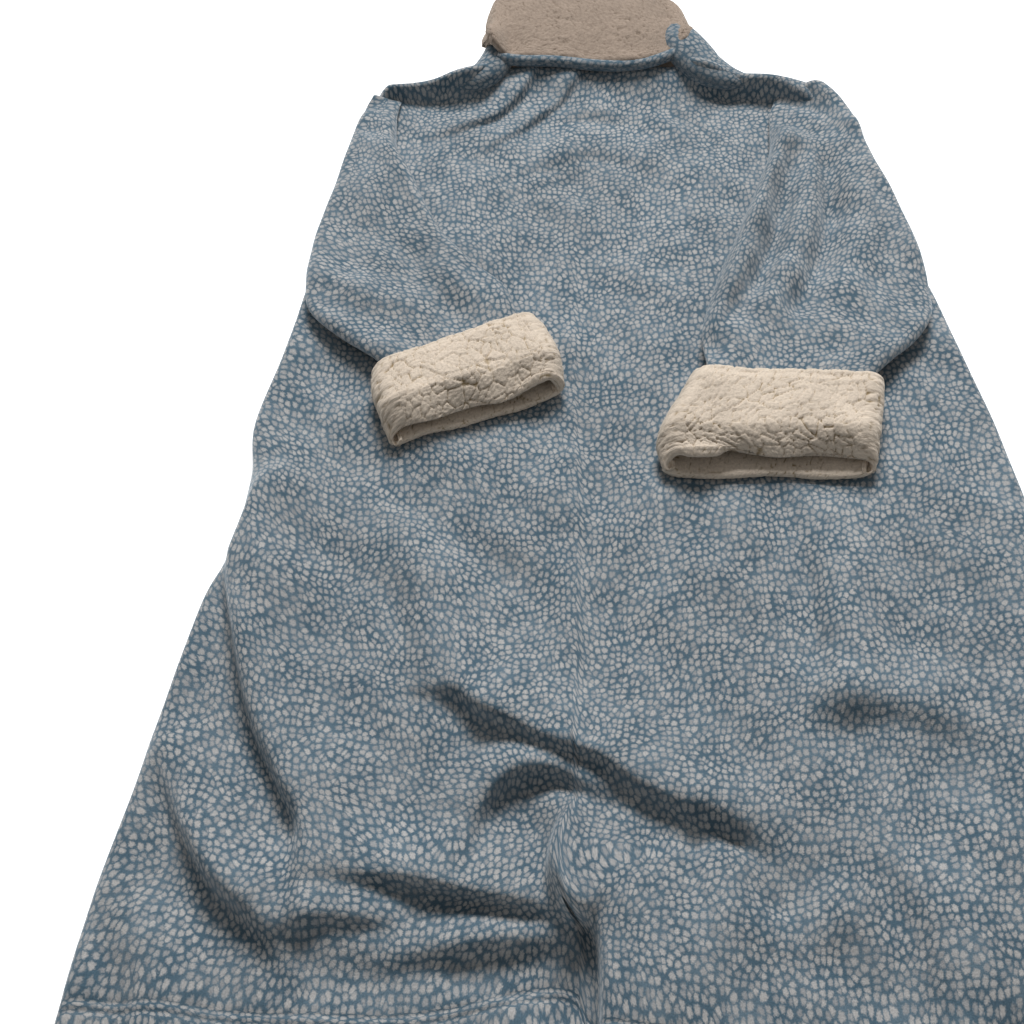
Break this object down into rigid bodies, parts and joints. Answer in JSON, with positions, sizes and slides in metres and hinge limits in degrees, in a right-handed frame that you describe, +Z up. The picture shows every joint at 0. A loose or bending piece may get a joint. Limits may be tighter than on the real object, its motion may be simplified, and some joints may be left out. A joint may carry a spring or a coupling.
{
  "type": "bathrobe laid flat",
  "caption": "Plush bathrobe with sherpa shawl collar and turned-back sherpa cuffs, laid face down with its sleeves folded over its back.",
  "frame": {"origin": "on the surface that the robe lies on, under the middle of its box", "axes": "+Y along the back from the hem to the collar, +X to the right as seen from above with the hem nearest, +Z up off the surface"},
  "size_m": [0.8352, 1.2102, 0.0711],
  "materials": {
    "plush": "soft pile in dusty blue with a pale pebble print",
    "plush_edge": "soft pile in plain dusty blue",
    "sherpa": "curly cream wool-look pile"
  },
  "bodies": {
    "root": {"back_panel": "plush", "front_left": "plush", "front_right": "plush", "sleeve_left": "plush", "sleeve_right": "plush", "cuff_left": "sherpa", "cuff_right": "sherpa", "collar": "sherpa", "collar_edge": "plush_edge", "collar_front_left": "sherpa", "collar_front_right": "sherpa"}
  },
  "joints": []
}
